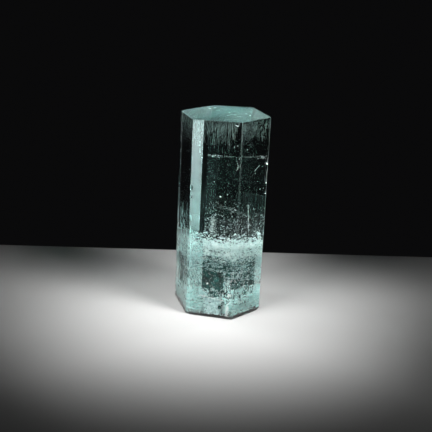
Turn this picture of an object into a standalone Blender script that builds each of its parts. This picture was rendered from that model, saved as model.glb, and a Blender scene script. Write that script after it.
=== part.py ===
"""Aquamarine crystal: one hexagonal prism of clear beryl that stands on its flat foot.

The six prism faces are planes at their own distances from the crystal's axis, so the hexagon is
unequal but keeps its 120 degree corners. A flat basal face closes the top and a flat foot the
bottom. The edges are slightly worn, two foot corners are blunted, and small conchoidal chips and
etch pits mark the edges and the top. Metres, +Z up, origin at the middle of the foot.
"""
import math

import bmesh
import bpy
from mathutils import Matrix, Vector

MM = 0.001

# Driving dimensions of the prism.
HEIGHT = 60.0 * MM
FACE_DISTANCES = {
    "front": 12.6 * MM,
    "right": 12.9 * MM,
    "back_right": 10.95 * MM,
    "back": 12.6 * MM,
    "back_left": 12.9 * MM,
    "left": 12.1 * MM,
}
PRISM_TURN = math.radians(14.5)
AXIS_LEAN_X = math.radians(0.93)
AXIS_LEAN_Y = math.radians(-0.38)
TOP_TILT_X = math.radians(0.95)
TOP_TILT_Y = math.radians(-0.22)

# Wear: how far each edge is rounded back from its sharp corner.
WORN_EDGE = 0.9 * MM
EDGE_WEAR = {
    ("left", "front"): 0.22,
    ("front", "right"): 0.05,
    ("right", "back_right"): 1.0,
    ("back_right", "back"): 0.35,
    ("back", "back_left"): 0.25,
    ("back_left", "left"): 0.35,
}
RIM_WEAR = 0.40
FOOT_WEAR = 0.28
BLUNT_WEAR = 0.5
WEAR_SEGMENTS = 3

# Blunted corners: the corner between two prism faces at one end, the depth that is lost from it
# along the corner's bisector, and how steeply the blunting runs up the edge.
BLUNTED_CORNERS = (
    ("left", "front", "foot", 0.55 * MM, math.radians(14.0)),
    ("right", "back_right", "foot", 0.75 * MM, math.radians(48.0)),
    ("back_left", "left", "top", 0.45 * MM, math.radians(45.0)),
    ("right", "back_right", "top", 0.40 * MM, math.radians(45.0)),
)

# Conchoidal scars: how far the shell rises above the lost corner and spreads to its sides, as
# multiples of the scar's depth, and the shell's number of subdivisions.
SCAR_RISE = 3.0
SCAR_SPREAD = 5.0
SCAR_DETAIL = 3

# Conchoidal chips on the upright edges: the edge, the height, the length along the edge, the
# depth of the scar and the side it faces, from -1 for the first face to 1 for the second.
EDGE_CHIPS = (
    ("left", "front", 39.9 * MM, 1.9 * MM, 0.30 * MM, 0.5),
    ("left", "front", 38.2 * MM, 0.9 * MM, 0.22 * MM, 0.4),
    ("left", "front", 36.9 * MM, 0.8 * MM, 0.26 * MM, 0.6),
    ("right", "back_right", 47.2 * MM, 2.6 * MM, 0.50 * MM, -0.8),
    ("right", "back_right", 42.6 * MM, 5.4 * MM, 0.55 * MM, -0.6),
    ("right", "back_right", 37.8 * MM, 1.8 * MM, 0.35 * MM, -0.7),
    ("back", "back_left", 21.0 * MM, 2.2 * MM, 0.35 * MM, 0.2),
    ("back_right", "back", 12.5 * MM, 3.0 * MM, 0.45 * MM, 0.0),
)

# Chips on the top rim: the face, the place along its rim from 0 to 1, the drop below the rim,
# the length along the rim and the depth.
RIM_CHIPS = (
    ("front", 0.88, 0.90 * MM, 2.2 * MM, 0.22 * MM),
    ("back_left", 0.12, 0.10 * MM, 1.7 * MM, 0.30 * MM),
    ("back", 0.62, 0.15 * MM, 1.2 * MM, 0.25 * MM),
)

# Hexagonal etch pits on the basal face: x and y from the middle of the top, width and depth.
ETCH_PITS = (
    (-1.6 * MM, 8.6 * MM, 0.9 * MM, 0.16 * MM),
    (2.2 * MM, 3.6 * MM, 0.8 * MM, 0.14 * MM),
    (1.2 * MM, -1.0 * MM, 0.6 * MM, 0.10 * MM),
    (4.3 * MM, -0.8 * MM, 0.7 * MM, 0.12 * MM),
    (3.1 * MM, -5.6 * MM, 1.0 * MM, 0.16 * MM),
    (-4.6 * MM, 1.5 * MM, 0.5 * MM, 0.09 * MM),
)

FACE_NAMES = tuple(FACE_DISTANCES)
AXIS = Vector((math.tan(AXIS_LEAN_X), math.tan(AXIS_LEAN_Y), 1.0))
TOP_CENTRE = AXIS * HEIGHT
TOP_NORMAL = Vector((-math.tan(TOP_TILT_X), -math.tan(TOP_TILT_Y), 1.0)).normalized()
FOOT_NORMAL = Vector((0.0, 0.0, -1.0))


def face_outward(name):
    """Horizontal outward direction of a prism face."""
    angle = -math.pi / 2 - PRISM_TURN + FACE_NAMES.index(name) * math.pi / 3
    return Vector((math.cos(angle), math.sin(angle), 0.0))


def face_plane(name):
    """A point of a prism face and its outward normal, which stays square to the leaning axis."""
    outward = face_outward(name)
    normal = (outward - Vector((0.0, 0.0, outward.dot(AXIS)))).normalized()
    return outward * FACE_DISTANCES[name], normal


def edge_point(first, second, height):
    """The point of the upright edge between two neighbouring prism faces at a height."""
    a = face_outward(first)
    b = face_outward(second)
    share = 1.0 - a.dot(b) ** 2
    along_a = (FACE_DISTANCES[first] - FACE_DISTANCES[second] * a.dot(b)) / share
    along_b = (FACE_DISTANCES[second] - FACE_DISTANCES[first] * a.dot(b)) / share
    return a * along_a + b * along_b + AXIS * height


def on_top(point):
    """Slide a point along the crystal's axis onto the basal face."""
    distance = (TOP_CENTRE - point).dot(TOP_NORMAL) / AXIS.dot(TOP_NORMAL)
    return point + AXIS * distance


def cut(bm, point, normal):
    """Cut away what lies outside a plane and close the cut."""
    geometry = bm.verts[:] + bm.edges[:] + bm.faces[:]
    made = bmesh.ops.bisect_plane(
        bm, geom=geometry, dist=1e-7, plane_co=point, plane_no=normal, clear_outer=True
    )
    rim = [item for item in made["geom_cut"] if isinstance(item, bmesh.types.BMEdge)]
    bmesh.ops.edgeloop_fill(bm, edges=rim)


def blunt_plane(first, second, end, depth, steepness):
    """The plane that blunts one corner of the prism."""
    bisector = (face_outward(first) + face_outward(second)).normalized()
    if end == "foot":
        corner = edge_point(first, second, 0.0)
        lift = -math.sin(steepness)
    else:
        corner = on_top(edge_point(first, second, HEIGHT))
        lift = math.sin(steepness)
    normal = bisector * math.cos(steepness) + Vector((0.0, 0.0, lift))
    return corner - bisector * depth, normal


def face_name(face):
    """Name of the crystal face that a mesh face lies on, or None for a blunted corner."""
    directions = {name: face_plane(name)[1] for name in FACE_NAMES}
    directions["top"] = TOP_NORMAL
    directions["foot"] = FOOT_NORMAL
    for name, normal in directions.items():
        if face.normal.dot(normal) > 0.99999:
            return name
    return None


def edge_wear(edge):
    """Share of the full wear that an edge gets."""
    names = [face_name(face) for face in edge.link_faces]
    if None in names:
        return BLUNT_WEAR
    if "top" in names:
        return RIM_WEAR
    if "foot" in names:
        return FOOT_WEAR
    for pair, wear in EDGE_WEAR.items():
        if set(pair) == set(names):
            return wear
    raise ValueError("edge between faces that are not neighbours")


def make_crystal_mesh():
    """The sharp prism, with the wear of each edge stored as its bevel weight."""
    bm = bmesh.new()
    bmesh.ops.create_cube(bm, size=2.0 * HEIGHT, matrix=Matrix.Translation((0.0, 0.0, HEIGHT)))
    for name in FACE_NAMES:
        point, normal = face_plane(name)
        cut(bm, point, normal)
    cut(bm, TOP_CENTRE, TOP_NORMAL)
    for corner in BLUNTED_CORNERS:
        point, normal = blunt_plane(*corner)
        cut(bm, point, normal)
    bmesh.ops.recalc_face_normals(bm, faces=bm.faces[:])
    bm.normal_update()
    weights = bm.edges.layers.float.new("bevel_weight_edge")
    for edge in bm.edges:
        edge[weights] = edge_wear(edge)
    mesh = bpy.data.meshes.new("crystal")
    bm.to_mesh(mesh)
    bm.free()
    return mesh


def add_object(name, mesh):
    made = bpy.data.objects.new(name, mesh)
    bpy.context.scene.collection.objects.link(made)
    return made


def add_cutter(crystal, name, bm):
    """A hidden cutter that takes its shape out of the crystal."""
    mesh = bpy.data.meshes.new(name)
    bm.to_mesh(mesh)
    bm.free()
    cutter = add_object(name, mesh)
    cutter.parent = crystal
    cutter.hide_render = True
    cutter.display_type = "WIRE"
    modifier = crystal.modifiers.new(name, "BOOLEAN")
    modifier.operation = "DIFFERENCE"
    modifier.solver = "EXACT"
    modifier.object = cutter


def scar_shell(place, outward, along, length, depth):
    """A flat, long ball that leaves a shell-shaped scar of a given length and depth at a place."""
    rise = SCAR_RISE * depth
    reach = math.sqrt(1.0 - (1.0 - 1.0 / SCAR_RISE) ** 2)
    side = outward.cross(along).normalized()
    turn = Matrix((side, outward, along)).transposed().to_4x4()
    size = Matrix.Diagonal((SCAR_SPREAD * depth, rise, length / 2.0 / reach, 1.0))
    centre = place + outward * (rise - depth)
    bm = bmesh.new()
    matrix = Matrix.Translation(centre) @ turn @ size
    bmesh.ops.create_icosphere(bm, subdivisions=SCAR_DETAIL, radius=1.0, matrix=matrix)
    return bm


def chip_edges(crystal):
    for number, (first, second, height, length, depth, side) in enumerate(EDGE_CHIPS, start=1):
        share = (side + 1.0) / 2.0
        outward = face_outward(first).lerp(face_outward(second), share).normalized()
        along = (AXIS - outward * AXIS.dot(outward)).normalized()
        bm = scar_shell(edge_point(first, second, height), outward, along, length, depth)
        add_cutter(crystal, "edge_chip_%d" % number, bm)


def chip_rim(crystal):
    for number, (name, share, drop, length, depth) in enumerate(RIM_CHIPS, start=1):
        index = FACE_NAMES.index(name)
        before = FACE_NAMES[index - 1]
        after = FACE_NAMES[(index + 1) % len(FACE_NAMES)]
        start = on_top(edge_point(before, name, HEIGHT))
        end = on_top(edge_point(name, after, HEIGHT))
        along = (end - start).normalized()
        outward = (face_outward(name) + TOP_NORMAL * 0.35).normalized()
        place = start.lerp(end, share) - AXIS * drop
        bm = scar_shell(place, outward, along, length, depth)
        add_cutter(crystal, "rim_chip_%d" % number, bm)


def pit_top(crystal):
    for number, (x, y, width, depth) in enumerate(ETCH_PITS, start=1):
        place = on_top(TOP_CENTRE + Vector((x, y, 0.0)))
        stand = TOP_NORMAL.to_track_quat("Z", "Y").to_matrix().to_4x4()
        turn = Matrix.Rotation(math.pi / 2 - PRISM_TURN, 4, "Z")
        bm = bmesh.new()
        bmesh.ops.create_cone(
            bm,
            cap_ends=True,
            segments=6,
            radius1=width * 0.10,
            radius2=width * 0.90,
            depth=2.0 * depth,
            matrix=Matrix.Translation(place) @ stand @ turn,
        )
        add_cutter(crystal, "etch_pit_%d" % number, bm)


def make_beryl():
    """Clear, faintly blue-green beryl."""
    material = bpy.data.materials.new("aquamarine")
    material.use_nodes = True
    shader = material.node_tree.nodes["Principled BSDF"]
    shader.inputs["Base Color"].default_value = (0.80, 0.95, 0.93, 1.0)
    shader.inputs["Metallic"].default_value = 0.0
    shader.inputs["Roughness"].default_value = 0.03
    shader.inputs["IOR"].default_value = 1.577
    shader.inputs["Transmission Weight"].default_value = 1.0
    material.diffuse_color = (0.55, 0.80, 0.77, 1.0)
    return material


def stand_on_origin(crystal):
    """Move the crystal so that the origin is the middle of its box's underside."""
    bpy.context.view_layer.update()
    evaluated = crystal.evaluated_get(bpy.context.evaluated_depsgraph_get())
    points = [vertex.co.copy() for vertex in evaluated.data.vertices]
    lowest = Vector([min(point[axis] for point in points) for axis in range(3)])
    highest = Vector([max(point[axis] for point in points) for axis in range(3)])
    middle = (lowest + highest) / 2.0
    crystal.location = (-middle.x, -middle.y, -lowest.z)


def build():
    for old in list(bpy.data.objects):
        bpy.data.objects.remove(old, do_unlink=True)
    crystal = add_object("crystal", make_crystal_mesh())
    crystal.data.materials.append(make_beryl())
    wear = crystal.modifiers.new("wear", "BEVEL")
    wear.limit_method = "WEIGHT"
    wear.width = WORN_EDGE
    wear.segments = WEAR_SEGMENTS
    wear.profile = 0.5
    chip_edges(crystal)
    chip_rim(crystal)
    pit_top(crystal)
    stand_on_origin(crystal)


build()
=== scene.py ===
import math
import random

import bmesh
import bpy
from mathutils import Euler, Matrix, Vector, noise
from mathutils.bvhtree import BVHTree


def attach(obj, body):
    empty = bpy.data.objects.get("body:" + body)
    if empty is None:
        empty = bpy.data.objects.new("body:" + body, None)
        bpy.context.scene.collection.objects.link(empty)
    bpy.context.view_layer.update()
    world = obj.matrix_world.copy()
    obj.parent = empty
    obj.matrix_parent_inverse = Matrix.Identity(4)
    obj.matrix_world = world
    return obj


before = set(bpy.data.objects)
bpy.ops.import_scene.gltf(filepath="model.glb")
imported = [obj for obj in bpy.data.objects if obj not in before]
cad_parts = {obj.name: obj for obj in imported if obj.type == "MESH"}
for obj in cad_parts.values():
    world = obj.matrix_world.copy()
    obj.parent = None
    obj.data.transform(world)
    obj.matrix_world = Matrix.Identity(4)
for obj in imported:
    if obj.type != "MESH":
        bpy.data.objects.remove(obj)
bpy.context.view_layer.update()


# ---- Camera ----------------------------------------------------------------------------------
# A close-up lens a quarter of a metre in front of the crystal, looking slightly down on it,
# and turned a little over about its own axis.
MM = 0.001
CAMERA_SPOT = Vector((-1.31, -253.8, 105.95)) * MM
CAMERA_PITCH = math.radians(17.03)
CAMERA_ROLL = math.radians(1.652)
CAMERA_LENS = 72.33

scene = bpy.context.scene
gaze = Vector((0, math.cos(CAMERA_PITCH), -math.sin(CAMERA_PITCH)))
level_right = Vector((1, 0, 0))
level_up = level_right.cross(gaze)
camera_right = level_right * math.cos(CAMERA_ROLL) + level_up * math.sin(CAMERA_ROLL)
camera_up = level_up * math.cos(CAMERA_ROLL) - level_right * math.sin(CAMERA_ROLL)
camera_pose = Matrix((camera_right, camera_up, -gaze)).transposed().to_4x4()
camera_pose.translation = CAMERA_SPOT

camera_data = bpy.data.cameras.new("camera")
camera_data.lens = CAMERA_LENS
camera_data.sensor_width = 36
camera_data.clip_start = 0.01
camera_data.clip_end = 20
camera = bpy.data.objects.new("camera", camera_data)
camera.matrix_world = camera_pose
scene.collection.objects.link(camera)
scene.camera = camera


# ---- Floor -----------------------------------------------------------------------------------
# A plain pale matt table top, a little wider than the view. It ends a little behind the crystal,
# so that the clear upper part stands before the dark room. It is the stage, not the stone.
FLOOR_SIZE = (0.22, 0.148, 1)
FLOOR_MIDDLE = (0, -0.026, 0)
FLOOR_COLOUR = (0.25, 0.25, 0.247, 1)

floor_mesh = bpy.data.meshes.new("floor")
sheet = bmesh.new()
bmesh.ops.create_grid(sheet, x_segments=1, y_segments=1, size=0.5)
bmesh.ops.scale(sheet, verts=sheet.verts, vec=FLOOR_SIZE)
bmesh.ops.translate(sheet, verts=sheet.verts, vec=FLOOR_MIDDLE)
sheet.to_mesh(floor_mesh)
sheet.free()
floor = bpy.data.objects.new("floor", floor_mesh)
scene.collection.objects.link(floor)
floor_paint = bpy.data.materials.new("floor")
floor_paint.use_nodes = True
floor_shader = floor_paint.node_tree.nodes["Principled BSDF"]
floor_shader.inputs["Base Color"].default_value = FLOOR_COLOUR
floor_shader.inputs["Roughness"].default_value = 0.9
floor_shader.inputs["Specular IOR Level"].default_value = 0.2
floor_mesh.materials.append(floor_paint)


# ---- Lights ----------------------------------------------------------------------------------
# Soft boxes round the table: a key and a fill in front, one behind on the left and one above,
# all high enough not to show through the clear part. Two small ones stand low on the right: the
# etched back face spreads the front one into the upright band, and the other lines the edge.
SOFT_BOXES = (
    # Name, place, aim and two sides in metres, brightness straight on, and beam in degrees.
    ("key", (0.075, -0.06, 0.105), (0.0, -0.006, 0.018), (0.06, 0.06), 84, 44),
    ("low_key", (0.08, -0.06, 0.050), (0.0, -0.005, 0.038), (0.014, 0.014), 198, 46),
    ("fill", (-0.07, -0.07, 0.105), (0.0, -0.008, 0.005), (0.06, 0.06), 60, 44),
    ("rim_left", (-0.09, 0.03, 0.105), (0.0, -0.008, 0.02), (0.04, 0.04), 44, 44),
    ("rim_right", (0.10, 0.04, 0.060), (0.0, -0.015, 0.020), (0.03, 0.05), 26, 50),
    ("top", (-0.015, -0.028, 0.13), (0.0, -0.015, 0.0), (0.06, 0.06), 1.5, 60),
)
DARK_ROOM = (0.003, 0.003, 0.0032, 1)
BOUNCES = 40

for name, place, aim, sides, glow, spread in SOFT_BOXES:
    light = bpy.data.lights.new(name, "AREA")
    light.shape = "RECTANGLE"
    light.size = sides[0]
    light.size_y = sides[1]
    light.spread = math.radians(spread)
    half = light.spread / 2
    narrowing = math.tan(half) / (math.tan(half) - half)
    light.energy = glow * math.pi * sides[0] * sides[1] / narrowing
    box = bpy.data.objects.new(name, light)
    box.location = place
    box.rotation_euler = (Vector(aim) - Vector(place)).to_track_quat("-Z", "Y").to_euler()
    box.visible_camera = False
    scene.collection.objects.link(box)

world = bpy.data.worlds.new("studio")
world.use_nodes = True
world.node_tree.nodes["Background"].inputs["Color"].default_value = DARK_ROOM
scene.world = world
scene.view_settings.view_transform = "Standard"
scene.cycles.max_bounces = BOUNCES
scene.cycles.transmission_bounces = BOUNCES
scene.cycles.glossy_bounces = BOUNCES
scene.cycles.transparent_max_bounces = BOUNCES


# ---- The crystal -----------------------------------------------------------------------------
# One natural six-sided prism of beryl, grown and not cut: clear, sea-blue by a trace of iron,
# with faintly ribbed faces. Its back right face and its top are etched to a satin; the rest is
# glassy. It is the CAD solid as it stands, and gets its material here.
BERYL_IOR = 1.577
SEA_BLUE = (0.10, 0.75, 0.72, 1)
SEA_DEPTH = 9.0
SATIN_SKIN = 0.15 * MM
RIB_SCALE = (420, 420, 30)
RIB_BUMP = 0.05
RIB_DEPTH = 0.00006
FLAT_FACES = 8

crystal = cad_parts["crystal"]

# The crystal's flat faces, widest first, as a point and an outward normal each.
wide_faces = {}
for face in crystal.data.polygons:
    heading = tuple(round(part, 2) for part in face.normal)
    area, best, middle, normal = wide_faces.get(heading, (0.0, 0.0, None, None))
    if face.area > best:
        best, middle, normal = face.area, face.center.copy(), face.normal.copy()
    wide_faces[heading] = (area + face.area, best, middle, normal)
widest = sorted(wide_faces.values(), key=lambda row: -row[0])[:FLAT_FACES]
flats = [row[2:] for row in widest]


def flat_towards(x, y, z):
    """The flat face that looks most in that direction."""
    return max(flats, key=lambda flat: flat[1].dot(Vector((x, y, z))))


FRONT = flat_towards(-0.25, -0.97, 0)
LEFT = flat_towards(-0.96, -0.27, 0)
BACK_RIGHT = flat_towards(0.97, 0.26, 0)
TOP = flat_towards(0, 0, 1)
SATIN_FACES = (
    # An etched face and its roughness.
    (BACK_RIGHT, 0.45),
    (TOP, 0.20),
)


def new_material(name):
    """An empty node material: itself, its nodes, its links and its Principled shader."""
    material = bpy.data.materials.new(name)
    material.use_nodes = True
    tree = material.node_tree
    return material, tree.nodes, tree.links, tree.nodes["Principled BSDF"]


def object_noise(nodes, links, scale, detail, name):
    """Noise on the piece's own coordinates, stretched by a Mapping node."""
    coordinates = nodes.new("ShaderNodeTexCoord")
    stretch = nodes.new("ShaderNodeMapping")
    stretch.inputs["Scale"].default_value = scale
    pattern = nodes.new("ShaderNodeTexNoise")
    pattern.name = name
    pattern.inputs["Scale"].default_value = 1.0
    pattern.inputs["Detail"].default_value = detail
    links.new(coordinates.outputs["Object"], stretch.inputs["Vector"])
    links.new(stretch.outputs["Vector"], pattern.inputs["Vector"])
    return pattern


def roughen(nodes, links, shader, pattern, strength, depth):
    """Lets a pattern raise and sink the surface for the shader, by a depth in metres."""
    bump = nodes.new("ShaderNodeBump")
    bump.inputs["Strength"].default_value = strength
    bump.inputs["Distance"].default_value = depth
    links.new(pattern.outputs["Fac"], bump.inputs["Height"])
    links.new(bump.outputs["Normal"], shader.inputs["Normal"])


beryl, nodes, links, shader = new_material("clear_beryl")
shader.inputs["Base Color"].default_value = (1, 1, 1, 1)
shader.inputs["Transmission Weight"].default_value = 1.0
shader.inputs["IOR"].default_value = BERYL_IOR
seat = nodes.new("ShaderNodeTexCoord")
etched = None
for (point, normal), roughness in SATIN_FACES:
    reach = nodes.new("ShaderNodeVectorMath")
    reach.operation = "DOT_PRODUCT"
    reach.inputs[1].default_value = normal
    links.new(seat.outputs["Object"], reach.inputs[0])
    on_face = nodes.new("ShaderNodeMath")
    on_face.operation = "GREATER_THAN"
    on_face.inputs[1].default_value = point.dot(normal) - SATIN_SKIN
    links.new(reach.outputs["Value"], on_face.inputs[0])
    satin = nodes.new("ShaderNodeMath")
    satin.operation = "MULTIPLY"
    satin.inputs[1].default_value = roughness
    links.new(on_face.outputs[0], satin.inputs[0])
    if etched:
        both = nodes.new("ShaderNodeMath")
        both.operation = "MAXIMUM"
        links.new(etched.outputs[0], both.inputs[0])
        links.new(satin.outputs[0], both.inputs[1])
        satin = both
    etched = satin
links.new(etched.outputs[0], shader.inputs["Roughness"])
body_tint = nodes.new("ShaderNodeVolumeAbsorption")
body_tint.inputs["Color"].default_value = SEA_BLUE
body_tint.inputs["Density"].default_value = SEA_DEPTH
links.new(body_tint.outputs["Volume"], nodes["Material Output"].inputs["Volume"])
ribs = object_noise(nodes, links, RIB_SCALE, 3.0, "growth_ribs")
roughen(nodes, links, shader, ribs, RIB_BUMP, RIB_DEPTH)

for socket in crystal.material_slots:
    socket.material = beryl


# ---- Growth tubes ----------------------------------------------------------------------------
# Fine hollow tubes along the prism's length, left open as it grew and filled with fluid since.
# They hang from just under the top face like rain, and thin out downwards.
SIGHT_SLANT = 0.16
CLOUD_STOPS = (0.35, 0.65)
RAIN_COUNT = 1050
RAIN_RADIUS = 0.0075
RAIN_LENGTHS = (0.3, 2.4)
RAIN_ACROSS = (-10, 22)
RAIN_INWARD = (0.5, 27)
RAIN_TOP = 59.35
RAIN_FADE = 3.0
RAIN_COVER = 0.4
RAIN_TOP_COVER = 0.25
RAIN_GAP = (13.2, 15.4)
RAIN_GAP_FROM = 52.0

across = Vector((-FRONT[1].y, FRONT[1].x, 0)).normalized()
inward = -FRONT[1]
skin = BVHTree.FromObject(crystal, bpy.context.evaluated_depsgraph_get())


def spot(u, t, z):
    """The point u along the front face from its left edge, t behind it and z up; millimetres."""
    height = z * MM
    a, b = FRONT[1], LEFT[1]
    c = a.dot(FRONT[0]) - a.z * height
    d = b.dot(LEFT[0]) - b.z * height
    scale = a.x * b.y - a.y * b.x
    corner = Vector(((c * b.y - a.y * d) / scale, (a.x * d - c * b.x) / scale, height))
    return corner + across * u * MM + inward * t * MM


def column(u, t):
    """How far along the front face a point shows from straight in front, in millimetres."""
    return u + SIGHT_SLANT * t


def depth_under_skin(point):
    """How far a point lies inside the crystal's surface, in millimetres; negative outside."""
    nearest, normal, _, distance = skin.find_nearest(point)
    return distance / MM if (nearest - point).dot(normal) > 0 else -distance / MM


def inside(place, margin):
    """True where a point lies more than a margin, in millimetres, under the crystal's skin."""
    return depth_under_skin(place) > margin


def show(name, mesh, material):
    """Puts a finished mesh in the scene as a piece that rides on the crystal."""
    piece = bpy.data.objects.new(name, mesh)
    scene.collection.objects.link(piece)
    mesh.materials.clear()
    mesh.materials.append(material)
    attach(piece, "root")


def strew(name, grains, material, facets=1):
    """Tiny closed grains, each with its own place, half sizes and turn, as one joined mesh."""
    cloud = bmesh.new()
    size = cloud.verts.layers.float_vector.new("grain_size")
    turn = cloud.verts.layers.float_vector.new("grain_turn")
    for place, half_size, angles in grains:
        point = cloud.verts.new(place)
        point[size] = Vector(half_size) * MM
        point[turn] = angles
    points = bpy.data.meshes.new(name + "_places")
    cloud.to_mesh(points)
    cloud.free()
    carrier = bpy.data.objects.new(name + "_places", points)
    scene.collection.objects.link(carrier)
    tree = bpy.data.node_groups.new(name, "GeometryNodeTree")
    tree.interface.new_socket("Geometry", in_out="INPUT", socket_type="NodeSocketGeometry")
    tree.interface.new_socket("Geometry", in_out="OUTPUT", socket_type="NodeSocketGeometry")
    start = tree.nodes.new("NodeGroupInput")
    finish = tree.nodes.new("NodeGroupOutput")
    grain = tree.nodes.new("GeometryNodeMeshIcoSphere")
    grain.inputs["Radius"].default_value = 1.0
    grain.inputs["Subdivisions"].default_value = facets
    sizes = tree.nodes.new("GeometryNodeInputNamedAttribute")
    sizes.data_type = "FLOAT_VECTOR"
    sizes.inputs["Name"].default_value = "grain_size"
    turns = tree.nodes.new("GeometryNodeInputNamedAttribute")
    turns.data_type = "FLOAT_VECTOR"
    turns.inputs["Name"].default_value = "grain_turn"
    to_turn = tree.nodes.new("FunctionNodeEulerToRotation")
    place_all = tree.nodes.new("GeometryNodeInstanceOnPoints")
    real = tree.nodes.new("GeometryNodeRealizeInstances")
    tree.links.new(start.outputs[0], place_all.inputs["Points"])
    tree.links.new(grain.outputs["Mesh"], place_all.inputs["Instance"])
    tree.links.new(turns.outputs["Attribute"], to_turn.inputs[0])
    tree.links.new(to_turn.outputs[0], place_all.inputs["Rotation"])
    tree.links.new(sizes.outputs["Attribute"], place_all.inputs["Scale"])
    tree.links.new(place_all.outputs["Instances"], real.inputs["Geometry"])
    tree.links.new(real.outputs["Geometry"], finish.inputs[0])
    carrier.modifiers.new("strew", "NODES").node_group = tree
    seen = carrier.evaluated_get(bpy.context.evaluated_depsgraph_get())
    mesh = bpy.data.meshes.new_from_object(seen)
    mesh.name = name
    bpy.data.objects.remove(carrier)
    for attribute in ("grain_size", "grain_turn"):
        if attribute in mesh.attributes:
            mesh.attributes.remove(mesh.attributes[attribute])
    show(name, mesh, material)


def cloudy_finish(name, low, high, scale, roughness, metallic=0.0):
    """A finish whose colour drifts between low and high over the piece, in small clouds."""
    material, nodes, links, shader = new_material(name)
    pattern = object_noise(nodes, links, (scale,) * 3, 4.0, "cloudiness")
    ramp = nodes.new("ShaderNodeValToRGB")
    for stop, position, colour in zip(ramp.color_ramp.elements, CLOUD_STOPS, (low, high)):
        stop.position = position
        stop.color = (*colour, 1)
    links.new(pattern.outputs["Fac"], ramp.inputs["Fac"])
    links.new(ramp.outputs["Color"], shader.inputs["Base Color"])
    shader.inputs["Roughness"].default_value = roughness
    shader.inputs["Metallic"].default_value = metallic
    return material


tube_fluid = cloudy_finish(
    "tube_fluid", low=(0.56, 0.78, 0.72), high=(0.76, 0.95, 0.90), scale=900, roughness=0.4,
    metallic=0.2,
)

dice = random.Random(11)
tubes = []
while len(tubes) < RAIN_COUNT:
    u = dice.uniform(*RAIN_ACROSS)
    t = dice.uniform(*RAIN_INWARD)
    top = RAIN_TOP - abs(dice.gauss(0, RAIN_FADE))
    long = dice.uniform(*RAIN_LENGTHS)
    if RAIN_GAP[0] < column(u, t) < RAIN_GAP[1] and top > RAIN_GAP_FROM:
        continue
    place = spot(u, t, top - long / 2)
    if inside(place, RAIN_COVER) and inside(spot(u, t, top), RAIN_TOP_COVER):
        tubes.append((place, (RAIN_RADIUS, RAIN_RADIUS, long / 2), (0, 0, 0)))
strew("growth_rain", tubes, tube_fluid)


# ---- Healed crack ----------------------------------------------------------------------------
# A crack that healed over and left beads of fluid. It lies nearly level at the upper third and
# is seen on edge, with a few larger beads at its left end, a knot at its right end, and two
# curved feathers under it.
HEALED_HEIGHT = 50.0
HEALED_DIP = 0.147
HEALED_HALF = 0.25
CLEAR_FROM = 4.8
TRIES_PER_GRAIN = 60
TRAIL_BEHIND = 0.25
TRAIL_COVER = 0.1
TRAIL_LEAN = 0.12
HEALED_TRAILS = (
    # Seed, stops as u, t and z, number of beads, stray and range of half widths.
    (22, ((5.4, 0.6, 49.9), (8.4, 1.2, 49.4)), 22, 0.30, (0.06, 0.13)),
    (23, ((18.6, 8.2, 48.9), (20.0, 9.6, 48.1)), 90, 0.26, (0.04, 0.12)),
    (24, ((13.2, 0.7, 49.1), (13.8, 1.0, 47.4), (13.4, 0.7, 45.9)), 60, 0.08, (0.03, 0.08)),
    (
        25, ((18.2, 8.2, 46.5), (17.8, 6.4, 45.6), (17.5, 5.9, 45.1), (17.7, 6.1, 44.2)), 80,
        0.06, (0.03, 0.09),
    ),
)


def clumps(u, t, z, width, height, seed):
    """A cloud pattern from about -1 to 1, with its own width and height in millimetres."""
    place = Vector((u / width + seed * 7.3, t / width - seed * 3.9, z / height + seed * 5.7))
    return noise.fractal(place, 1.0, 2.0, 4)


def patchy(u, t, z, even, swing, width, height, seed):
    """A share of grains that comes and goes in clouds: even on average, with a swing."""
    return max(0.0, even + swing * clumps(u, t, z, width, height, seed))


def splinter(dice, wide, facing, stray):
    """The size and turn of a flat splinter that lies square to facing, give or take a stray."""
    lie = facing + Vector([dice.gauss(0, stray) for _ in range(3)])
    return (wide, wide * 0.6, wide * 0.12), lie.to_track_quat("Z", "Y").to_euler()


def settle(seed, count, low, high, taste, slim, tall, margin=0.3, lean=0.4, facing=None):
    """Seeded grains in a block of u, t and z, each kept as often as taste(u, t, z, depth) says.

    slim and tall are the ranges of a grain's half width and half height, in millimetres. With
    a facing, they are flat splinters that lie square to it, give or take the lean.
    """
    dice = random.Random(seed)
    grains = []
    tries = 0
    while len(grains) < count and tries < count * TRIES_PER_GRAIN:
        tries += 1
        u, t, z = [dice.uniform(a, b) for a, b in zip(low, high)]
        chance = dice.random()
        place = spot(u, t, z)
        depth = depth_under_skin(place)
        if depth < margin + tall[1] or chance > taste(u, t, z, depth):
            continue
        wide = dice.uniform(*slim)
        if facing:
            grains.append((place, *splinter(dice, wide, facing, lean)))
            continue
        size = (wide, wide * dice.uniform(0.5, 1.0), dice.uniform(*tall))
        turn = (dice.gauss(0, lean), dice.gauss(0, lean), dice.uniform(0, math.pi))
        grains.append((place, size, turn))
    return grains


def trail(seed, stops, count, stray, sizes, facing=None):
    """Grains strung along a bent line through the stops, each u, t, z, turned at random.

    Where they are splinters of one crack, they are flat and lie nearly square to facing.
    """
    dice = random.Random(seed)
    grains = []
    legs = len(stops) - 1
    for _ in range(count):
        reach = dice.uniform(0, legs)
        leg = min(int(reach), legs - 1)
        share = reach - leg
        a, b = Vector(stops[leg]), Vector(stops[leg + 1])
        u, t, z = a.lerp(b, share) + Vector([dice.gauss(0, stray) for _ in range(3)])
        place = spot(u, max(t, TRAIL_BEHIND), z)
        wide = dice.uniform(*sizes)
        if inside(place, wide + TRAIL_COVER):
            if facing:
                grains.append((place, *splinter(dice, wide, facing, TRAIL_LEAN)))
            else:
                turn = [dice.uniform(0, math.pi) for _ in range(3)]
                grains.append((place, (wide, wide * 0.7, wide * 0.6), turn))
    return grains


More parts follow.
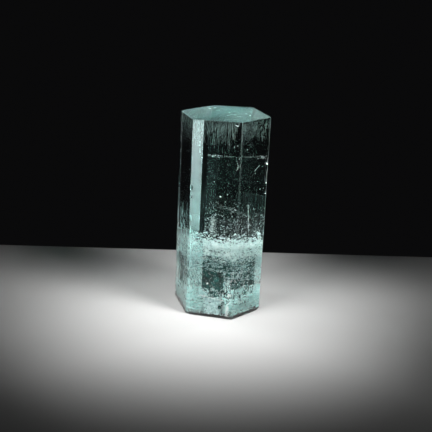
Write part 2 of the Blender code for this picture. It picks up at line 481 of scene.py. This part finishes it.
def healed_taste(u, t, z, depth):
    """Clouds of beads in the thin layer of the crack."""
    lie = abs(z - HEALED_HEIGHT + HEALED_DIP * t)
    if lie > HEALED_HALF or column(u, t) < CLEAR_FROM:
        return 0.0
    return patchy(u, t, z, 0.0, 1.2, 2.0, 2.0, 27)


bead_white = cloudy_finish(
    "bead_white", low=(0.72, 0.84, 0.81), high=(0.96, 1.0, 0.99), scale=900, roughness=0.4,
    metallic=0.3,
)
healed = settle(
    seed=21, count=300, low=(-6, 0.3, 45.5), high=(22, 26, 50.5), taste=healed_taste,
    slim=(0.03, 0.08), tall=(0.02, 0.05),
)
for row in HEALED_TRAILS:
    healed += trail(*row)
strew("healed_crack", healed, bead_white)


# ---- Haze, specks and pools of the clear part ------------------------------------------------
# Leavings of small cracks that healed: a dull haze of fine beads, bright specks that thicken
# downwards, single large beads, three trails of them, and small clear pools of fluid.
SIGHT_DIP = 0.24
CLEAR_REACH = 14
SPECKS_UP_TO = 38
SPECKS_GAIN = 0.04
SPECKS_NEAR = 4
POOLS_UP_TO = 50
POOLS_NEAR = 5
FLUID_TINT = (0.80, 0.97, 0.94, 1)
FLUID_IOR = 1.33
SWIRL_SCALE = (2200, 2200, 2200)
LARGE_BEADS = (
    # u, t, z and radius.
    (9.0, 0.5, 37.9, 0.33),
    (11.1, 0.5, 38.7, 0.18),
    (6.1, 0.5, 49.6, 0.17),
    (12.4, 0.8, 52.8, 0.16),
    (15.0, 3.6, 51.7, 0.20),
    (13.3, 0.8, 53.2, 0.14),
    (10.9, 0.6, 53.4, 0.12),
    (13.9, 1.4, 49.4, 0.14),
    (17.5, 7.6, 48.4, 0.14),
    (13.5, 0.6, 34.4, 0.20),
    (18.4, 9.0, 39.0, 0.17),
    (19.1, 10.2, 39.0, 0.14),
    (14.3, 1.2, 39.6, 0.12),
    (7.0, 0.6, 42.2, 0.13),
    (11.3, 0.7, 42.0, 0.12),
    (6.2, 0.6, 10.6, 0.42),
    (2.2, 0.6, 53.5, 0.20),
    (3.1, 0.6, 49.0, 0.20),
)
SPECK_TRAILS = (
    # The same values as for the healed crack: an upright thread, a plume and a level wisp.
    (32, ((16.4, 4.2, 35.2), (16.8, 4.8, 26.5)), 240, 0.06, (0.05, 0.10)),
    (33, ((7.2, 0.7, 31.5), (7.0, 0.9, 26.6)), 260, 0.42, (0.04, 0.12)),
    (34, ((6.0, 0.6, 35.6), (11.5, 0.8, 34.6), (13.8, 0.6, 33.6)), 120, 0.35, (0.03, 0.08)),
)


def seen_height(t, z):
    """How high on the front face a point shows from slightly above, in millimetres."""
    return z + SIGHT_DIP * t


def in_clear_part(u, t):
    """True right of the bright upright band and not too far behind the front face."""
    return column(u, t) >= CLEAR_FROM and t <= CLEAR_REACH


def haze_taste(u, t, z, depth):
    """Even dull clouds."""
    if not in_clear_part(u, t):
        return 0.0
    return patchy(u, t, z, 0.25, 1.2, 1.6, 1.6, 30)


def speck_taste(u, t, z, depth):
    """Flat clouds that grow thicker downwards, most of them near the faces."""
    height = seen_height(t, z)
    if not in_clear_part(u, t) or height > SPECKS_UP_TO:
        return 0.0
    thick = SPECKS_GAIN * (SPECKS_UP_TO - height)
    near = 1.0 if depth < SPECKS_NEAR else 0.4
    return near * thick * patchy(u, t, z, 0.3, 4.0, 1.6, 0.8, 31)


def pool_taste(u, t, z, depth):
    """Evenly strewn, most of them near the faces."""
    if not in_clear_part(u, t) or seen_height(t, z) > POOLS_UP_TO:
        return 0.0
    return 0.9 if depth < POOLS_NEAR else 0.25


dull_bead = cloudy_finish(
    "dull_bead", low=(0.04, 0.20, 0.14), high=(0.22, 0.50, 0.40), scale=900, roughness=0.6
)
haze = settle(
    seed=30, count=1400, low=(-9, 0.3, 30), high=(22, 26, 55), taste=haze_taste,
    slim=(0.025, 0.07), tall=(0.02, 0.06),
)
strew("clear_haze", haze, dull_bead)

specks = settle(
    seed=31, count=600, low=(-9, 0.3, 22), high=(22, 26, 37), taste=speck_taste,
    slim=(0.07, 0.17), tall=(0.05, 0.11),
)
for u, t, z, radius in LARGE_BEADS:
    specks.append((spot(u, t, z), (radius, radius * 0.8, radius * 0.7), (u, t, z)))
for row in SPECK_TRAILS:
    specks += trail(*row)
strew("stray_specks", specks, bead_white)

fluid, nodes, links, shader = new_material("fluid")
shader.inputs["Base Color"].default_value = FLUID_TINT
shader.inputs["Transmission Weight"].default_value = 1.0
shader.inputs["IOR"].default_value = FLUID_IOR
shader.inputs["Roughness"].default_value = 0.08
swirl = object_noise(nodes, links, SWIRL_SCALE, 3.0, "swirl")
roughen(nodes, links, shader, swirl, strength=0.3, depth=0.0001)
pools = settle(
    seed=35, count=190, low=(-9, 0.3, 27), high=(22, 26, 50), taste=pool_taste,
    slim=(0.08, 0.26), tall=(0.04, 0.09), lean=1.2,
)
strew("fluid_pools", pools, fluid, facets=2)


# ---- Painted glints of the top face ----------------------------------------------------------
# Painted highlights: white specks in the shallow pits of the etched top face, thin flat
# grains that lie half sunk in the face.
PAINTED_GLINT_HALF = 0.03
PAINTED_GLINTS = (
    # x and y from the crystal's axis, and a half width.
    (-4.1, 8.1, 0.55),
    (-2.6, 9.2, 0.45),
    (-1.3, 5.1, 0.25),
    (1.8, 1.4, 0.32),
    (1.3, -3.6, 0.22),
    (3.4, -2.4, 0.26),
    (7.8, -3.4, 0.34),
    (6.7, -0.3, 0.22),
    (4.8, -5.4, 0.22),
    (2.4, -1.6, 0.20),
)

painted_glints = []
for x, y, wide in PAINTED_GLINTS:
    offset = Vector((x * MM, y * MM, 0)) - TOP[0]
    height = TOP[0].z - (offset.x * TOP[1].x + offset.y * TOP[1].y) / TOP[1].z
    place = Vector((x * MM, y * MM, height))
    painted_glints.append((place, (wide, wide * 0.6, PAINTED_GLINT_HALF), (0, 0, x)))
# Plain white grains that stand for glints: painted highlights.
strew("top_painted_glints", painted_glints, bead_white, facets=2)


# ---- Cracks of the fracture belt -------------------------------------------------------------
# A belt of nearly level cracks between a third and a half of the way up. Air in three of them
# mirrors the light like silver leaf, and two are white veils. Each has its own ripple.
LEAF_PITCH = 0.30
LEAF_THICKNESS = 0.03
LEAF_COVER = 0.08
FRAY_FROM = 0.85
FRAY = 4
BAND_EDGE = 4.6
CRACK_GAP = 0.12
FAR_BORDER = 17.0
SILVER_TINT = (0.88, 0.97, 0.95, 1)
CRINKLE_SCALE = (1500, 1500, 1500)
SILVER_CRACKS = (
    # Middle as u, t and z, tilt in degrees, half sizes, ripple, grain, cover and seed.
    ((6, 12, 22.4), (2, 3, 0), (16, 15), 1.0, 2.6, -0.22, 1),
    ((6, 12, 21.0), (-5, 2, 20), (16, 15), 0.9, 1.8, -0.22, 2),
    ((8, 8, 19.4), (4, -4, 40), (14, 12), 0.8, 1.8, -0.22, 3),
)
WHITE_VEILS = (
    # The same values.
    ((6, 12, 21.6), (-4, 3, 30), (16, 15), 0.8, 1.4, -0.28, 5),
    ((6, 12, 19.6), (4, 3, 50), (16, 15), 0.8, 1.3, -0.30, 6),
)


def where(point):
    """The u, t and z, in millimetres, of a point: the reverse of spot."""
    z = point.z / MM
    offset = point - spot(0, 0, z)
    return offset.dot(across) / MM, offset.dot(inward) / MM, z


def leaf(place, reach, ripple, grain, cover, seed, gap, keep, pitch=LEAF_PITCH):
    """A crinkled patchy leaf, closed and thin, cut to stay a gap under the crystal's flat faces.

    place turns its own plane, in millimetres, to where it lies; reach is its two half sizes,
    ripple and grain the height and width of its waves, and cover how much of it is left, where
    keep(u, t, z) is above 0.
    """
    shape = bmesh.new()
    steps_x = max(4, int(2 * reach[0] / pitch))
    steps_y = max(4, int(2 * reach[1] / pitch))
    bmesh.ops.create_grid(shape, x_segments=steps_x, y_segments=steps_y, size=1.0)
    shift = Vector((seed * 17.3, seed * 5.1, seed * 9.7))
    for vert in shape.verts:
        flat = Vector((vert.co.x * reach[0], vert.co.y * reach[1], 0))
        wave = noise.fractal(flat / grain + shift, 1.0, 2.0, 4)
        vert.co = flat + Vector((0, 0, ripple * wave))
    holes = []
    for face in shape.faces:
        middle = face.calc_center_median()
        middle.z = 0
        edge = max(abs(middle.x) / reach[0], abs(middle.y) / reach[1])
        patch = noise.fractal(middle / (grain * 0.6) - shift, 1.0, 2.0, 5)
        share = patch + cover - max(0.0, edge - FRAY_FROM) * FRAY
        if share < 0 or patch + cover + keep(*where(place @ middle)) < 0:
            holes.append(face)
    bmesh.ops.delete(shape, geom=holes, context="FACES")
    bmesh.ops.transform(shape, matrix=place, verts=shape.verts)
    for point, normal in flats:
        bmesh.ops.bisect_plane(
            shape,
            geom=shape.verts[:] + shape.edges[:] + shape.faces[:],
            plane_co=point - normal * gap * MM,
            plane_no=normal,
            clear_outer=True,
        )
    stray = [vert for vert in shape.verts if not inside(vert.co, LEAF_COVER)]
    bmesh.ops.delete(shape, geom=stray, context="VERTS")
    bmesh.ops.solidify(shape, geom=shape.faces[:], thickness=LEAF_THICKNESS * MM)
    return shape


def join(name, leaves, material):
    """Several leaves as one piece."""
    whole = bmesh.new()
    for shape in leaves:
        part = bpy.data.meshes.new("leaf")
        shape.to_mesh(part)
        shape.free()
        whole.from_mesh(part)
        bpy.data.meshes.remove(part)
    bmesh.ops.recalc_face_normals(whole, faces=whole.faces[:])
    mesh = bpy.data.meshes.new(name)
    whole.to_mesh(mesh)
    whole.free()
    show(name, mesh, material)


def level(u, t, z, tilt):
    """The place of a leaf that lies nearly level at (u, t, z), tilted by degrees."""
    turn = Euler([math.radians(angle) for angle in tilt]).to_matrix().to_4x4()
    lie = Matrix((across, inward, Vector((0, 0, 1)))).transposed().to_4x4()
    return Matrix.Translation(spot(u, t, z)) @ lie @ turn @ Matrix.Scale(MM, 4)


def cracked(u, t, z):
    """Below 0 behind a ragged far border, and in the milky left sector."""
    border = FAR_BORDER + 9.0 * clumps(u, 0, z, 3.0, 0.6, 40)
    return min(0.6, (column(u, t) - BAND_EDGE) * 2, border - t)


def crack(middle, tilt, reach, ripple, grain, cover, seed):
    """One crack of the belt as a leaf."""
    return leaf(level(*middle, tilt), reach, ripple, grain, cover, seed, CRACK_GAP, cracked)


silver, nodes, links, shader = new_material("air_silver")
shader.inputs["Metallic"].default_value = 1.0
shader.inputs["Base Color"].default_value = SILVER_TINT
shader.inputs["Roughness"].default_value = 0.3
crinkle = object_noise(nodes, links, CRINKLE_SCALE, 4.0, "crinkle")
roughen(nodes, links, shader, crinkle, strength=0.2, depth=0.0002)
belt_white = cloudy_finish(
    "belt_white", low=(0.42, 0.60, 0.57), high=(0.98, 1.0, 0.99), scale=1000, roughness=0.4,
    metallic=0.3,
)
join("fracture_silver", [crack(*row) for row in SILVER_CRACKS], silver)
join("fracture_veils", [crack(*row) for row in WHITE_VEILS], belt_white)


# ---- Crumbs, streaks and splinters of the belt -----------------------------------------------
# Between its cracks the beryl is crushed: white crumbs lie in clouds, with level grey streaks
# under them. Nests of flat splinters full of air, nearly all turned one way, flash in the light.
CRUMB_HEIGHTS = (14.5, 26.5)
CRUMB_CORE = 20.8
CRUMB_SPREAD = 4.2
CRUMB_SKIRT = 18.0
CRUMBS_NEAR = 3
RIGHT_EDGE = (20.3, 10.5)
LEFT_EDGE = (-6.0, 11.0)
EDGE_REACH = 2.6
STREAK_HEIGHTS = (12.5, 20.0)
STREAKS_NEAR = 4
WINDOW_RIGHT = 11
WINDOW_TOP = 15.0
SPLINTER_NORMAL = Vector((-0.30, -0.90, 0.32))
SPLINTER_HEIGHTS = (16.5, 28.5)
SPLINTER_CORE = 21.5
SPLINTER_SPREAD = 4.0
SPLINTERS_NEAR = 3
NEST_SIZES = (0.14, 0.36)
NESTS = (
    # Two ends of a bright nest of splinters, its number of splinters and its spread.
    ((7.5, 0.5, 23.4), (8.9, 0.5, 21.9), 90, 0.35),
    ((5.5, 0.5, 21.2), (5.7, 0.5, 20.9), 25, 0.18),
    ((11.3, 0.5, 20.6), (12.6, 0.5, 20.3), 60, 0.28),
    ((14.0, 1.2, 22.3), (15.4, 2.3, 20.6), 120, 0.45),
    ((18.1, 7.3, 20.9), (18.3, 7.6, 18.9), 90, 0.28),
    ((19.3, 9.0, 24.4), (19.6, 9.3, 22.0), 90, 0.30),
    ((9.2, 0.5, 25.6), (13.9, 0.5, 24.6), 40, 0.40),
    ((15.8, 3.0, 25.4), (19.5, 8.7, 24.6), 70, 0.45),
)


def by_edge(u, t, edge):
    """True close to an upright edge of the prism, given as its u and t."""
    return math.hypot(u - edge[0], t - edge[1]) < EDGE_REACH


def crumb_taste(u, t, z, depth):
    """Clouds, thickest in the belt's core. Near the upper rim the share turns below 0, so that
    a few crumbs lie in the gaps between the clouds there.
    """
    height = seen_height(t, z)
    if not CRUMB_HEIGHTS[0] < height < CRUMB_HEIGHTS[1]:
        return 0.0
    share = 1.10 - abs(height - CRUMB_CORE) / CRUMB_SPREAD if height > CRUMB_SKIRT else 0.25
    near = 1.0 if depth < CRUMBS_NEAR else 0.3
    if by_edge(u, t, RIGHT_EDGE):
        share, near = 1.0, 1.0
    return max(0.0, share * near * (0.05 + 5.0 * clumps(u, t, z, 2.0, 0.9, 41)))


def streak_taste(u, t, z, depth):
    """Wide flat clouds near the faces, but none in the left window."""
    height = seen_height(t, z)
    if not STREAK_HEIGHTS[0] < height < STREAK_HEIGHTS[1] or depth > STREAKS_NEAR:
        return 0.0
    if column(u, t) < WINDOW_RIGHT and height < WINDOW_TOP:
        return 0.0
    return patchy(u, t, z, 0.25, 2.0, 5.0, 0.5, 43)


def splinter_taste(u, t, z, depth):
    """Small flat clouds near the faces, most of them in the belt's core."""
    height = seen_height(t, z)
    if depth > SPLINTERS_NEAR or not SPLINTER_HEIGHTS[0] < height < SPLINTER_HEIGHTS[1]:
        return 0.0
    if column(u, t) < BAND_EDGE:
        return 0.0
    share = max(0.0, 1.0 - abs(height - SPLINTER_CORE) / SPLINTER_SPREAD)
    return share * patchy(u, t, z, 0.1, 3.0, 1.6, 0.6, 49)


crumbs = settle(
    seed=41, count=4600, low=(-6, 0.3, 9), high=(22, 26, 27), taste=crumb_taste,
    slim=(0.04, 0.24), tall=(0.03, 0.10),
)
strew("fracture_grains", crumbs, belt_white)

slate = cloudy_finish(
    "slate_veil", low=(0.25, 0.42, 0.42), high=(0.62, 0.80, 0.79), scale=1400, roughness=0.5,
    metallic=0.2,
)
streaks = settle(
    seed=43, count=4200, low=(-6, 0.3, 10), high=(22, 26, 20), taste=streak_taste,
    slim=(0.12, 0.34), tall=(0.02, 0.06), lean=0.12,
)
strew("fracture_streaks", streaks, slate)

splinters = []
for number, (start, end, count, stray) in enumerate(NESTS):
    splinters += trail(50 + number, (start, end), count, stray, NEST_SIZES, SPLINTER_NORMAL)
splinters += settle(
    seed=49, count=1500, low=(-6, 0.3, 10), high=(22, 26, 28), taste=splinter_taste,
    slim=(0.08, 0.30), tall=(0.05, 0.10), lean=0.45, facing=SPLINTER_NORMAL,
)
strew("fracture_glints", splinters, silver)


# ---- Milky left sector -----------------------------------------------------------------------
# An upright column of milk behind the left end of the front face, even and fine, that starts at
# the foot and thins out in the fracture belt.
SECTOR_LEFT = 0.4
SECTOR_FADE = (21, 27.0)


def sector_taste(u, t, z, depth):
    """Nearly even, with upright clouds, and fading out towards its top."""
    if not SECTOR_LEFT < column(u, t) < BAND_EDGE:
        return 0.0
    start, end = SECTOR_FADE
    fade = 1.0 if z < start else (end - z) / (end - start)
    return fade * patchy(u, t, z, 0.8, 0.6, 1.0, 3.0, 55)


veil_white = cloudy_finish(
    "veil_white", low=(0.50, 0.88, 0.85), high=(0.88, 1.0, 0.98), scale=1400, roughness=0.5,
    metallic=0.3,
)
milk = settle(
    seed=55, count=5000, low=(0, 0.35, 0.3), high=(4.6, 3.0, 27), taste=sector_taste,
    slim=(0.05, 0.11), tall=(0.05, 0.14), lean=0.2,
)
strew("milky_sector", milk, veil_white)


# ---- Shaded zone -----------------------------------------------------------------------------
# Between the belt and the milky foot the beryl is darkened by painted shade: dark sheets stand
# parallel to the prism faces, a few millimetres under them, torn into patches at the right, with
# fine bubbles before.
SHADE_INSET = 3.2
SHADE_MIDDLE = 10.5
SHADE_REACH = (9, 7.5)
SHADE_TOP = 17.0
SHADE_TORN_FROM = 13.5
SHADE_PITCH = 0.45
BUBBLE_HEIGHTS = (9, 16)
BUBBLES_NEAR = 2.6
CUT_AWAY = -9.0


def beside(wall, inset, z):
    """The place of a leaf that stands parallel to a wall of the prism, an inset under it."""
    point, normal = wall
    core = Vector((0, 0, z * MM))
    foot = core - normal * ((core - point).dot(normal) + inset * MM)
    along = Vector((0, 0, 1)).cross(normal).normalized()
    lie = Matrix((along, normal.cross(along), normal)).transposed().to_4x4()
    return Matrix.Translation(foot) @ lie @ Matrix.Scale(MM, 4)


def painted_shade_keep(u, t, z):
    """Below 0 above the painted shade sheets' wavy top, and in more and more patches towards the
    right.
    """
    if z > SHADE_TOP + 1.5 * clumps(u, t, 0, 2.0, 2.0, 81):
        return CUT_AWAY
    past = column(u, t) - SHADE_TORN_FROM
    return 1.5 if past < 0 else -0.5 - 0.12 * past + 2.6 * clumps(u, t, z, 1.4, 2.2, 82)


def bubble_taste(u, t, z, depth):
    """Small round clouds close under the faces."""
    if depth > BUBBLES_NEAR or not BUBBLE_HEIGHTS[0] < seen_height(t, z) < BUBBLE_HEIGHTS[1]:
        return 0.0
    return patchy(u, t, z, 0.3, 1.5, 1.0, 1.0, 86)


bubbles = settle(
    seed=85, count=1300, low=(-6, 0.3, 4), high=(22, 26, 15.5), taste=bubble_taste,
    slim=(0.03, 0.11), tall=(0.03, 0.08),
)
strew("shaded_zone_bubbles", bubbles, belt_white)

# Painted shade: near-black teal sheets that darken the clear beryl here, and the voids of the
# foot.
painted_shade = cloudy_finish(
    "painted_shade_teal", low=(0.002, 0.014, 0.012), high=(0.010, 0.090, 0.080), scale=700, roughness=0.5
)
painted_shade.node_tree.nodes["Principled BSDF"].inputs["Specular IOR Level"].default_value = 0.0
walls = [flat for flat in flats if abs(flat[1].z) < 0.5]
leaves = []
for number, wall in enumerate(walls):
    leaves.append(
        leaf(
            beside(wall, SHADE_INSET, SHADE_MIDDLE), SHADE_REACH, ripple=0.25, grain=2.0,
            cover=1.0, seed=80 + number, gap=SHADE_INSET * 0.97, keep=painted_shade_keep,
            pitch=SHADE_PITCH,
        )
    )
join("painted_shade_sheets", leaves, painted_shade)


# ---- Milky foot ------------------------------------------------------------------------------
# The root end is milky: while it grew, each prism face trapped fluid specks, so the milk is
# thickest under the faces and in upright streaks. It leaves clear windows above it, with a
# pillar of milk between them, and climbs highest at the outer edges.
FOOT_TOP = 9.3
PILLAR = (11.3, 13.3)
PILLAR_REACH = 6
PILLAR_TOP = 12.6
RIGHT_FROM = 15.5
RIGHT_TOP = 10.8
EDGE_TOP = 16.5
WISPS_FROM = 13.8
FOOT_NEAR = 2.5
THIN_ACROSS = (5.5, 10.6)
THIN_HEIGHTS = (1.2, 6.0)
THIN_NEAR = 6
THIN_SHARE = 0.35
VOID_MARGIN = 0.15
VOIDS = (
    # u, t, z and radius of the round voids under the front and right faces, dark with painted
    # shade.
    (10.3, 0.9, 3.3, 0.60),
    (7.4, 0.9, 7.8, 0.42),
    (10.8, 0.9, 8.6, 0.38),
    (15.1, 2.3, 8.0, 0.32),
    (15.5, 2.9, 7.0, 0.30),
)


def hides_void(u, t, z):
    """True in a dark void and in front of it."""
    return any(
        math.hypot(u - a, z - c) < radius + VOID_MARGIN and t < b + radius
        for a, b, c, radius in VOIDS
    )


def foot_top(u, t):
    """How high the milk reaches, in millimetres as seen from in front."""
    if by_edge(u, t, RIGHT_EDGE) or by_edge(u, t, LEFT_EDGE):
        return EDGE_TOP
    if column(u, t) > RIGHT_FROM:
        return RIGHT_TOP
    if PILLAR[0] < column(u, t) < PILLAR[1] and t < PILLAR_REACH:
        return PILLAR_TOP
    return FOOT_TOP + 0.9 * clumps(u, t, 0, 3.0, 3.0, 61)


def foot_taste(u, t, z, depth):
    """Upright clouds, thinner round the teal patch, and a few wisps above them at the right."""
    if hides_void(u, t, z):
        return 0.0
    height = seen_height(t, z)
    if height > foot_top(u, t):
        wispy = column(u, t) > WISPS_FROM and depth < FOOT_NEAR
        return max(0.0, 2.4 * clumps(u, t, z, 1.2, 1.6, 64) - 0.5) if wispy else 0.0
    thin = THIN_ACROSS[0] < column(u, t) < THIN_ACROSS[1] and depth < THIN_NEAR
    share = THIN_SHARE if thin and THIN_HEIGHTS[0] < height < THIN_HEIGHTS[1] else 1.0
    near = 1.0 if depth < FOOT_NEAR else 0.3
    return near * share * patchy(u, t, z, 0.75, 1.6, 1.0, 5.0, 62)


milk = settle(
    seed=61, count=9500, low=(-10, 0.3, 0.2), high=(22, 26, 16.0), taste=foot_taste,
    slim=(0.06, 0.16), tall=(0.06, 0.30), lean=0.15,
)
strew("milky_foot", milk, veil_white)


# ---- Bright marks and dark voids of the foot -------------------------------------------------
# Small cracks under the front face shine as a square, an upright streak and a level line, with
# looser clouds of beads above them. Round voids in the milk hold dark spheres of painted shade.
FOOT_MARKS = (
    # Seed, stops as u, t and z, number of grains, stray, range of half widths and facing.
    (63, ((13.0, 0.4, 8.0), (13.0, 0.4, 7.0)), 90, 0.18, (0.10, 0.22), SPLINTER_NORMAL),
    (64, ((12.7, 0.4, 4.4), (12.6, 0.4, 1.0)), 240, 0.22, (0.10, 0.22), SPLINTER_NORMAL),
    (
        65, ((3.9, 0.4, 6.7), (7.4, 0.4, 6.2), (11.6, 0.4, 5.7)), 170, 0.10, (0.07, 0.16),
        SPLINTER_NORMAL,
    ),
    (66, ((12.4, 0.9, 12.6), (12.6, 0.9, 9.6)), 170, 0.55, (0.03, 0.09), None),
    (67, ((19.0, 9.2, 14.0), (19.2, 9.2, 9.0)), 110, 0.35, (0.06, 0.14), None),
)

marks = []
for row in FOOT_MARKS:
    marks += trail(*row)
strew("foot_marks", marks, bead_white)
# The voids are dark spheres of painted shade, in the same near-black teal as the shade sheets.
voids = [(spot(u, t, z), (radius, radius, radius), (u, t, z)) for u, t, z, radius in VOIDS]
strew("foot_void_shade", voids, painted_shade, facets=3)


# ---- Streaks behind the left face ------------------------------------------------------------
# Long upright tubes of fluid close under the narrow left face, where its growth ribs are
# coarsest. They thin out upwards.
GROOVES_NEAR = 1.8
GROOVES_TOP = 30


def groove_taste(u, t, z, depth):
    """Narrow upright clouds under a ragged top."""
    if depth > GROOVES_NEAR or z > GROOVES_TOP + 6 * clumps(u, t, 0, 1.0, 1.0, 92):
        return 0.0
    return patchy(u, t, z, 0.1, 2.0, 0.7, 7.0, 91)


grooves = settle(
    seed=91, count=900, low=(-6.5, 0.3, 1.0), high=(0.5, 11.5, 34), taste=groove_taste,
    slim=(0.03, 0.08), tall=(0.3, 1.1), margin=0.2, lean=0.05,
)
strew("left_streaks", grooves, veil_white)


# ---- Teal patch and milky sheets of the foot -------------------------------------------------
# A slate-blue veil stands under the front face of the foot. Behind it five thin milky sheets lie
# nearly level, one above the other: healed cracks that close the foot to the eye.
PATCH_INSET = 1.6
PATCH_HEIGHT = 3.3
PATCH_SHIFT = (1.2, 0, 0)
PATCH_ROOM = ((5.0, 11.2), 2.2, 6.6)
SHEET_HEIGHTS = (1.4, 2.6, 3.8, 5.0, 6.2)
SHEET_TURN = 25


def foot_keep(u, t, z):
    """Below 0 in the room left for the teal patch, and above the milky foot."""
    (left, right), reach, top = PATCH_ROOM
    if left < u < right and t < reach and z < top:
        return CUT_AWAY
    return min(0.6, (FOOT_TOP - 0.3 - z - SIGHT_DIP * t) * 1.5)


patch = leaf(
    beside(FRONT, PATCH_INSET, PATCH_HEIGHT) @ Matrix.Translation(PATCH_SHIFT), reach=(2.9, 2.7),
    ripple=0.15, grain=1.0, cover=0.45, seed=90, gap=0.3, keep=painted_shade_keep, pitch=0.25,
)
join("teal_patch", [patch], slate)

leaves = []
for number, height in enumerate(SHEET_HEIGHTS):
    place = level(6, 12, height, (number - 2, 2 - number, number * SHEET_TURN))
    leaves.append(
        leaf(
            place, reach=(16, 15), ripple=0.5, grain=2.4, cover=0.12, seed=70 + number, gap=0.35,
            keep=foot_keep,
        )
    )
join("milky_sheets", leaves, veil_white)
